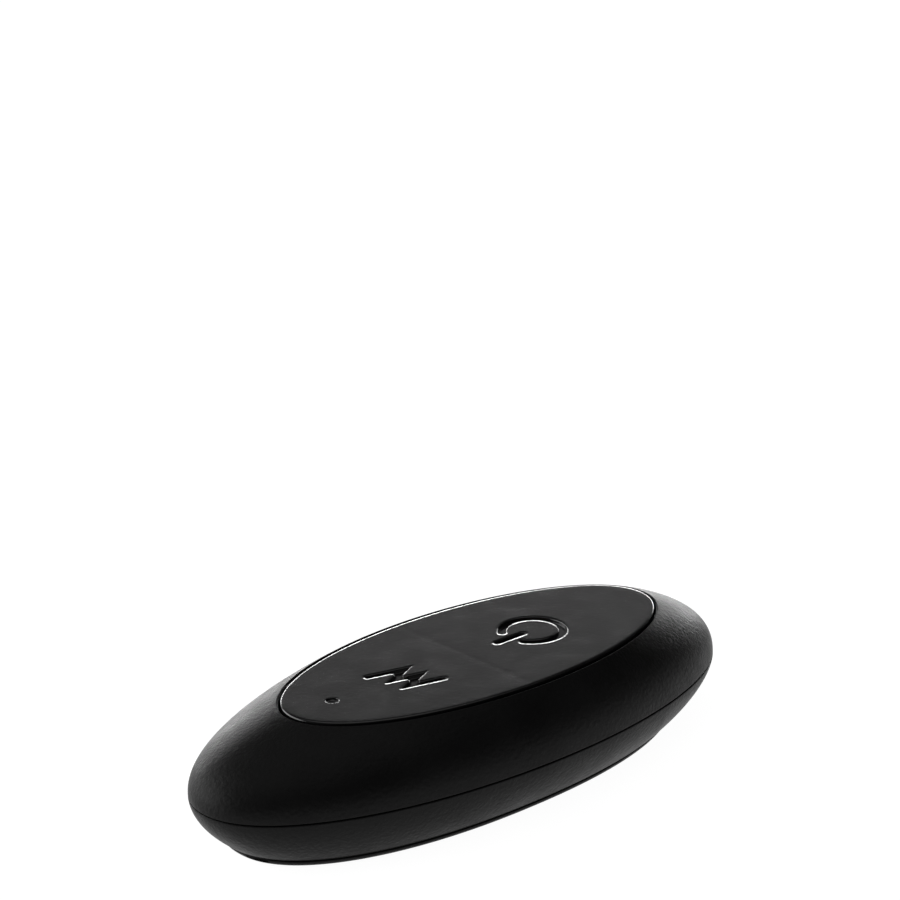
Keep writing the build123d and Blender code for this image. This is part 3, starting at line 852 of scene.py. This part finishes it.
def solder_mask():
    """Green solder mask with the faint relief of tracks below it."""
    material, nodes, links, shader = node_material("solder_mask")
    place = nodes.new("ShaderNodeTexCoord")
    tracks = nodes.new("ShaderNodeTexBrick")
    tracks.inputs["Scale"].default_value = 240
    tracks.inputs["Mortar Size"].default_value = 0.06
    tracks.inputs["Color1"].default_value = (0.006, 0.085, 0.032, 1)
    tracks.inputs["Color2"].default_value = (0.008, 0.105, 0.040, 1)
    tracks.inputs["Mortar"].default_value = (0.014, 0.16, 0.062, 1)
    links.new(place.outputs["Object"], tracks.inputs["Vector"])
    cloud = ramp(nodes, links, noise(nodes, links, 700, 4), [(0.3, 0.85), (0.7, 1.0)])
    green = blend_colours(nodes, links, "MULTIPLY", tracks.outputs["Color"], cloud)
    links.new(green, shader.inputs["Base Color"])
    links.new(bumps(nodes, links, [(tracks.outputs["Fac"], 0.5, 0.03 * MM)]), shader.inputs["Normal"])
    shader.inputs["Roughness"].default_value = 0.28
    return material


def smoked_lens():
    """Smoked acrylic with a faintly uneven moulded surface."""
    material, nodes, links, shader = node_material("smoked_lens")
    tone = ramp(nodes, links, noise(nodes, links, 900, 3), [(0.3, 0.02), (0.7, 0.035)])
    links.new(tone, shader.inputs["Base Color"])
    unevenness = noise(nodes, links, 1400, 2)
    links.new(bumps(nodes, links, [(unevenness, 0.3, 0.01 * MM)]), shader.inputs["Normal"])
    shader.inputs["Roughness"].default_value = 0.08
    shader.inputs["IOR"].default_value = 1.49
    shader.inputs["Coat Weight"].default_value = 0.4
    return material


def inner_materials():
    """Material of each slot of the record that is left on CAD nodes."""
    return {
        "inner_black": moulded_plastic("inner_black", (0.012,) * 3, (0.020,) * 3, 0.45),
        "tray_white": moulded_plastic("tray_white", (0.56, 0.55, 0.51), (0.66, 0.65, 0.61), 0.5),
        "led_white": moulded_plastic("led_white", (0.72, 0.70, 0.56), (0.82, 0.80, 0.68), 0.25, 0.001),
        "board_green": solder_mask(),
        "steel": plated_metal("steel", (0.48, 0.48, 0.47), (0.62, 0.62, 0.61), 0.3, (0.1, 1.5, 1.0)),
        "plunger_tan": moulded_plastic("plunger_tan", (0.46, 0.36, 0.22), (0.54, 0.44, 0.29), 0.45),
        "chip_black": moulded_plastic("chip_black", (0.018,) * 3, (0.030,) * 3, 0.35),
        "ceramic_tan": moulded_plastic("ceramic_tan", (0.38, 0.26, 0.15), (0.48, 0.34, 0.21), 0.5),
        "copper": plated_metal("gold_plated_copper", (0.72, 0.46, 0.17), (0.86, 0.60, 0.27), 0.25),
        "cell_nickel": plated_metal("cell_nickel", (0.60, 0.60, 0.58), (0.72, 0.72, 0.70), 0.28,
                                    (0.15, 1.0, 1.0)),
        "spring_bronze": plated_metal("spring_bronze", (0.62, 0.55, 0.40), (0.76, 0.69, 0.54), 0.26,
                                      (1.0, 0.1, 1.0)),
    }


def finish_cad_nodes(replaced):
    """Better materials on the CAD nodes that stay visible."""
    by_slot = inner_materials()
    for row in frame["record"]["subparts"]:
        if row["node"] in replaced:
            continue
        for slot in frame["nodes"][row["node"]].material_slots:
            slot.material = by_slot[row["material_slot"]]


# ---------------------------------------------------------------- pieces
black = soft_touch_black()
graphite = pad_graphite()

upper_housing = make_upper_housing()
lower_housing = make_lower_housing()
battery_lid = make_battery_lid()
for piece, body, node in ((upper_housing, "housing", "upper_shell"),
                          (lower_housing, "housing", "lower_shell"),
                          (battery_lid, "battery_cover", "battery_cover")):
    piece.data.materials.append(black)
    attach(piece, body)
    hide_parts(node)

finish_cad_nodes(("upper_shell", "lower_shell", "battery_cover", "power_pad", "mode_pad", "crease_strip",
                  "light_pipe"))
indicator_lens = make_indicator_lens()
indicator_lens.data.materials.append(smoked_lens())
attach(indicator_lens, "mode_key")
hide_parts("light_pipe")

power_skin = make_pad_skin("power_skin", 1, power_outlines())
mode_skin = make_pad_skin("mode_skin", -1, wave_outlines(), (indicator_x, indicator_radius))
for piece, body, nodes, side in ((power_skin, "power_key", ("power_pad", "crease_strip"), 1),
                                 (mode_skin, "mode_key", ("mode_pad",), -1)):
    piece.data.materials.append(graphite)
    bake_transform(piece)
    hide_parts(*nodes)


# ---------------------------------------------------------------- floor, light and camera
def make_floor():
    """Plain white floor, a hair below the remote so that the two faces do not coincide."""
    half = 3.0
    mesh = bpy.data.meshes.new("floor")
    corners = [(-half, -half, 0), (half, -half, 0), (half, half, 0), (-half, half, 0)]
    mesh.from_pydata(corners, [], [(0, 1, 2, 3)])
    floor = bpy.data.objects.new("floor", mesh)
    bpy.context.scene.collection.objects.link(floor)
    floor.location.z = -0.02 * MM
    material, nodes, links, shader = node_material("floor")
    tone = ramp(nodes, links, noise(nodes, links, 4, 2), [(0.0, 0.18), (1.0, 0.22)])
    links.new(tone, shader.inputs["Base Color"])
    shader.inputs["Roughness"].default_value = 0.9
    shader.inputs["Specular IOR Level"].default_value = 0.0
    shader.inputs["Emission Color"].default_value = (1, 1, 1, 1)
    shader.inputs["Emission Strength"].default_value = 0.97
    mesh.materials.append(material)


def make_world(camera_azimuth):
    """White backdrop, bright along its foot, a low soft light on the left and a weak one overhead."""
    world = bpy.data.worlds.new("studio")
    bpy.context.scene.world = world
    world.use_nodes = True
    nodes, links = world.node_tree.nodes, world.node_tree.links
    background = nodes["Background"]
    direction = nodes.new("ShaderNodeTexCoord").outputs["Generated"]
    apart = nodes.new("ShaderNodeSeparateXYZ")
    links.new(direction, apart.inputs["Vector"])
    heading = Vector((-math.sin(camera_azimuth), math.cos(camera_azimuth), 0))

    def towards(axis, start, full):
        """1 in the direction of the axis, and 0 where the cosine of the angle to it is below start."""
        dot = nodes.new("ShaderNodeVectorMath")
        dot.operation = "DOT_PRODUCT"
        dot.inputs[1].default_value = axis.normalized()
        links.new(direction, dot.inputs[0])
        span = nodes.new("ShaderNodeMapRange")
        span.interpolation_type = "SMOOTHSTEP"
        span.inputs["From Min"].default_value = start
        span.inputs["From Max"].default_value = full
        links.new(dot.outputs["Value"], span.inputs["Value"])
        return span.outputs["Result"]

    def combine(operation, first, second):
        node = nodes.new("ShaderNodeMath")
        node.operation = operation
        for socket, value in zip(node.inputs, (first, second)):
            if isinstance(value, float):
                socket.default_value = value
            else:
                links.new(value, socket)
        return node.outputs["Value"]

    # of each light: its axis, the cosines of the angles to it where it starts and where it is full,
    # its brightness over the sine of the elevation, and its radiance
    left_of_heading = Vector((-heading.y, heading.x, 0))
    studio = (
        (heading, (0.79, 0.92), [(0.09, 1.0), (0.15, 0.0)], foot_radiance),
        (heading + 0.4 * left_of_heading, (0.3, 0.75), [(0.25, 1.0), (0.46, 1.0), (0.6, 0.05)],
         backdrop_radiance),
        (soft_light_axis, (0.74, 0.88), None, soft_light_radiance),
        (Vector((0, 0, 1)), (0.75, 0.95), None, overhead_radiance),
    )
    total = faint_radiance
    for axis, spread, heights, radiance in studio:
        light = towards(axis, *spread)
        if heights:
            light = combine("MULTIPLY", light, ramp(nodes, links, apart.outputs["Z"], heights))
        total = combine("ADD", combine("MULTIPLY", light, radiance), total)
    background.inputs["Color"].default_value = (1, 1, 1, 1)
    links.new(total, background.inputs["Strength"])


def make_camera(azimuth, elevation, roll, location, lens):
    """Camera that looks level along the azimuth, then tips down by the elevation and rolls."""
    data = bpy.data.cameras.new("camera")
    data.lens = lens
    data.sensor_width = 36.0
    data.clip_start, data.clip_end = 0.01, 20
    camera = bpy.data.objects.new("camera", data)
    bpy.context.scene.collection.objects.link(camera)
    right = Vector((math.cos(azimuth), math.sin(azimuth), 0))
    back = Vector((math.sin(azimuth) * math.cos(elevation), -math.cos(azimuth) * math.cos(elevation),
                   math.sin(elevation)))
    up = back.cross(right)
    rolled_right = math.cos(roll) * right + math.sin(roll) * up
    rolled_up = math.cos(roll) * up - math.sin(roll) * right
    turn = Matrix((rolled_right, rolled_up, back)).transposed()
    camera.matrix_world = Matrix.Translation(location) @ turn.to_4x4()
    bpy.context.scene.camera = camera


camera_azimuth = math.radians(-39.772)
camera_elevation = math.radians(17.629)
camera_roll = math.radians(-1.76)
# the camera stands in front of the indicator end, above the middle of the seam by this much
camera_place = Vector((-147.481, -175.570, 103.936)) * MM + Vector((0, 0, seam_height))
camera_lens = 88.88

foot_radiance = 15.0
backdrop_radiance = 0.25
soft_light_radiance = 3.1
overhead_radiance = 0.6
faint_radiance = 0.02
soft_light_axis = Vector((-0.64, 0.77, 0.08))

make_floor()
make_world(camera_azimuth)
make_camera(camera_azimuth, camera_elevation, camera_roll, camera_place, camera_lens)
bpy.context.scene.view_settings.view_transform = "Standard"
